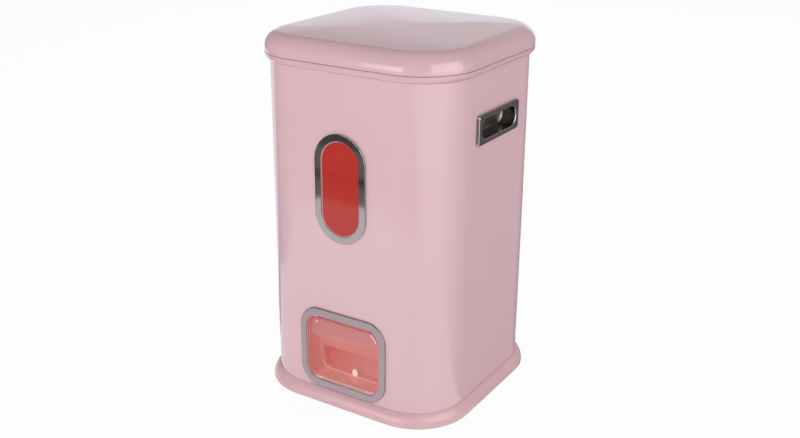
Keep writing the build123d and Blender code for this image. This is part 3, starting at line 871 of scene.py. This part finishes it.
def window_ring():
    """Bright flat oval ring with narrow rounded edges and a sleeve into the sheet."""
    rim = 8.2 * MM
    proud = -HALF_DEPTH - bezel_low.y
    sleeve, sleeve_end = 1.5 * MM, -2 * MM
    section = raised_section(rim, proud, outer=0.5 * MM, inner=0.4 * MM, steps=6)
    section += [(0, sleeve_end), (sleeve, sleeve_end), (sleeve, 0)]
    piece = as_object(carried_round(section, WINDOW), "window_ring", FRONT)
    dress(piece, "casing", chrome, "bright_chrome", "window_bezel")


def sight_pane():
    """Deep coral pane, nearly flush with its ring, with softened edges."""
    slack = 0.1 * MM
    soft = 0.4 * MM
    flange, thickness = 3.7 * MM, 2 * MM
    front = -HALF_DEPTH - pane_low.y
    back = -HALF_DEPTH - pane_high.y
    section = [(flange, back), (flange, back + thickness), (-slack, back + thickness)]
    section += arc((-slack - soft, front - soft), soft, 0, 90)
    pane = as_object(closed_up(carried_round(section, WINDOW, closed=False)), "sight_pane", FRONT)
    dress(pane, "casing", pane_coral, "pane_coral", "window_pane")


def pane_lip():
    """Thin pale edge between the pane and its ring, a painted highlight line round the pane."""
    soft = 0.35 * MM
    front = -HALF_DEPTH - pane_low.y
    section = circle((-soft, front), soft, 11, start=-30)
    piece = as_object(carried_round(section, WINDOW), "pane_lip", FRONT)
    dress(piece, "casing", pane_highlight_coral, "pane_coral")


def grip_plate(side, place):
    """Raised plate of a grip in a darker copy of the chrome that paints shade, with rounded edges round the
    hole for the fingers.
    """
    soft = 0.9 * MM
    section = [(0, 0)] + arc((-soft, GRIP_PROUD - soft), soft, 0, 90)
    shape = closed_up(carried_round(section, GRIP_PLATE, closed=False))
    plate = as_object(shape, "grip_plate_" + side, place)
    combined(plate, [block(grown(RECESS, GRIP_LIP), -MM, GRIP_PROUD + MM, place)])
    dress(plate, "casing", painted_shade_chrome, "bright_chrome", "handle_" + side)


def grip_lip(side, place):
    """Bright rounded lip of a grip's hole."""
    section = [(0, -MM)] + arc((GRIP_LIP, GRIP_PROUD - GRIP_LIP), GRIP_LIP, 180, 90, 8) + [(GRIP_LIP, -MM)]
    piece = as_object(carried_round(section, RECESS), "grip_lip_" + side, place)
    dress(piece, "casing", chrome, "bright_chrome")


def grip_cup(side, place):
    """Dished metal cup of a grip, in a dark metal colour that paints the shade in its recess."""
    dish, wall = 3.5 * MM, 1.6 * MM
    bottom = grip_low.x - HALF_WIDTH + wall
    cup = block(grown(RECESS, wall), bottom - wall, 0, place, "grip_cup_" + side)
    section = [(0, MM)] + arc((-dish, bottom + dish), dish, 0, -90, 8)
    room = closed_up(carried_round(section, RECESS, closed=False))
    combined(cup, [as_object(room, "room", place)])
    dress(cup, "casing", painted_shade_cup_metal, "bright_chrome")


painted_casing()
base_moulding()
rim_moulding()
lid_cover()
lid_gasket()
scoop_well()
well_stop()
well_rib("well_rib_left", -1)
well_rib("well_rib_right", 1)
mouth_lip()
flap_plate()
flap_foot()
flap_side()
flap_rib("flap_rib_right", FLAP_RIB_X, 24, 60)
flap_rib("flap_rib_left", -FLAP_RIB_X, 140, 124)
outlet_surround()
window_ring()
sight_pane()
pane_lip()
for side, place in (("right", RIGHT), ("left", LEFT)):
    grip_plate(side, place)
    grip_lip(side, place)
    grip_cup(side, place)


# Stage, light and camera

def floor():
    """White table: plain white to the camera, with a share of the object's soft shadow kept."""
    seen_as_white = 0.95
    bm = rectangle(8, 8)
    bmesh.ops.translate(bm, vec=(0, 0, -0.2 * MM), verts=bm.verts)
    table = as_object(bm, "table")
    finish = Finish("table_white", (0.85, 0.84, 0.84), 0.6)
    glow = finish.node("ShaderNodeEmission", inputs={"Color": (*WHITE, 1), "Strength": 1.0})
    share = finish.light_path("Camera") * seen_as_white
    lit = Value(finish, finish.shader.outputs[0])
    both = finish.node("ShaderNodeMixShader", inputs={0: share, 1: lit, 2: glow})
    finish.link(both, finish.tree.nodes["Material Output"].inputs[0])
    table.data.materials.append(finish.material)
    table.visible_glossy = False


ACROSS = Matrix.Rotation(math.pi / 2, 4, "X")
ALONG = Matrix.Rotation(math.pi / 2, 4, "Y")
WARM = (1, 0.96, 0.98)
COOL = (0.98, 1.02, 1.12)
RAYS_WITHOUT_CARDS = ("camera", "diffuse", "transmission", "volume_scatter", "shadow")


def card(name, size, middle, turn, level, tint=WARM):
    """A plain panel that only reflections show, at a level of brightness."""
    panel = as_object(rectangle(*size), name, Matrix.Translation(middle) @ turn)
    finish = Finish(name, (0, 0, 0), 1.0, Emission_Color=(*tint, 1), Emission_Strength=level,
                    Specular_IOR_Level=0)
    panel.data.materials.append(finish.material)
    for kind in RAYS_WITHOUT_CARDS:
        setattr(panel, "visible_" + kind, False)


def softbox(name, place, size, power):
    """A rectangular lamp turned towards the object, and left to the cards in reflections."""
    data = bpy.data.lights.new(name, "AREA")
    data.shape = "RECTANGLE"
    data.size, data.size_y = size
    data.energy = power
    lamp = bpy.data.objects.new(name, data)
    lamp.visible_glossy = False
    lamp.location = place
    middle_of_object = Vector((0, 0, 0.2))
    lamp.rotation_euler = (middle_of_object - Vector(place)).to_track_quat("-Z", "Y").to_euler()
    bpy.context.scene.collection.objects.link(lamp)


def white_world(ambient):
    """White to the camera and in reflections, and a softer level as ambient light."""
    world = bpy.data.worlds.new("studio")
    bpy.context.scene.world = world
    world.use_nodes = True
    nodes = NodeTree(world.node_tree)
    seen = nodes.light_path("Camera")
    for kind in ("Glossy", "Transmission"):
        seen = seen.at_least(nodes.light_path(kind))
    background = world.node_tree.nodes["Background"]
    background.inputs["Color"].default_value = (*WHITE, 1)
    nodes.link(seen * (1 - ambient) + ambient, background.inputs["Strength"])


def set_camera():
    """The photograph's viewpoint."""
    place = (0.6054, -0.9691, 0.6330)
    azimuth, elevation, roll = math.radians(32.04), math.radians(21.15), math.radians(0.42)
    forward = Vector((-math.sin(azimuth) * math.cos(elevation), math.cos(azimuth) * math.cos(elevation),
                      -math.sin(elevation)))
    right = Vector((math.cos(azimuth), math.sin(azimuth), 0))
    up = right.cross(forward)
    turned_right = right * math.cos(roll) + up * math.sin(roll)
    turned_up = up * math.cos(roll) - right * math.sin(roll)
    data = bpy.data.cameras.new("camera")
    data.sensor_width = 36
    data.lens = 47.015
    camera = bpy.data.objects.new("camera", data)
    turn = Matrix((turned_right, turned_up, -forward)).transposed()
    camera.matrix_world = Matrix.Translation(place) @ turn.to_4x4()
    bpy.context.scene.collection.objects.link(camera)
    bpy.context.scene.camera = camera


floor()

# Cards that stand for the table in reflections. They lie a few millimetres under it, and where two
# overlap the upper one shows.
card("table_card", (0.95, 0.65), (0.025, -0.355, -0.002), PLAN, 0.92)
card("dark_line_card", (6, 0.035), (0, -0.788, -0.0035), PLAN, 0.04)
card("right_floor_card", (3.5, 2.47), (2.25, -1.265, -0.003), PLAN, 1.0)
for number, level in enumerate((0.88, 0.76, 0.64, 0.53, 0.43, 0.34)):
    card(f"grade_card_{number}", (3.5, 0.08), (2.25, -0.25 + 0.08 * number, -0.0029), PLAN, level)
card("rear_floor_card", (3.9, 4.03), (2.05, 1.985, -0.003), PLAN, 0.26)
card("rear_left_floor_card", (2.4, 2.6), (-1.3, 1.35, -0.003), PLAN, 1.0, COOL)
card("far_floor_card", (1.6, 0.5), (-0.7, -1.19, -0.0033), PLAN, 0.1)
card("floor_card", (8, 8), (0, 0, -0.004), PLAN, 0.22)

# Cards round the table and above it
card("front_card", (8, 3), (0, -3.5, 1.5), ACROSS, 0.2)
card("softbox_card", (1.13, 0.85), (-0.535, -1.85, 0.53), ACROSS, 3.4)
card("left_card", (3, 8), (-4, 0, 1.5), ALONG, 0.35)
card("back_low_card", (6, 1.12), (-3.2, 3.6, 0.56), ACROSS, 1.0, COOL)
card("back_middle_card", (6, 0.4), (-3.2, 3.6, 1.32), ACROSS, 0.69)
card("back_high_card", (6, 0.88), (-3.2, 3.6, 1.96), ACROSS, 0.5)
card("rear_right_card", (6, 3.4), (2.8, 3.62, 1.7), ACROSS, 0.3)
card("right_card", (3.4, 8), (4.5, 0, 1.7), ALONG, 0.3)
card("dark_rail_card", (6, 0.7), (-3.2, 3.58, 2.7), ACROSS, 0.03)
card("ceiling_card", (8, 8), (0, 0, 3.0), PLAN, 0.2)
card("window_card", (1.0, 1.2), (1.0, -0.3, 0.7), ALONG, 2.7)

white_world(ambient=0.48)
softbox("key", (0.5, -2.3, 0.95), size=(1.8, 1.2), power=33)
softbox("side", (2.0, 0.8, 0.9), size=(0.6, 1.8), power=18)
softbox("left", (-1.8, -0.9, 0.9), size=(0.8, 1.6), power=4)
softbox("rear", (-0.6, 2.2, 1.2), size=(1.6, 1.0), power=12)
set_camera()
bpy.context.scene.view_settings.view_transform = "Standard"
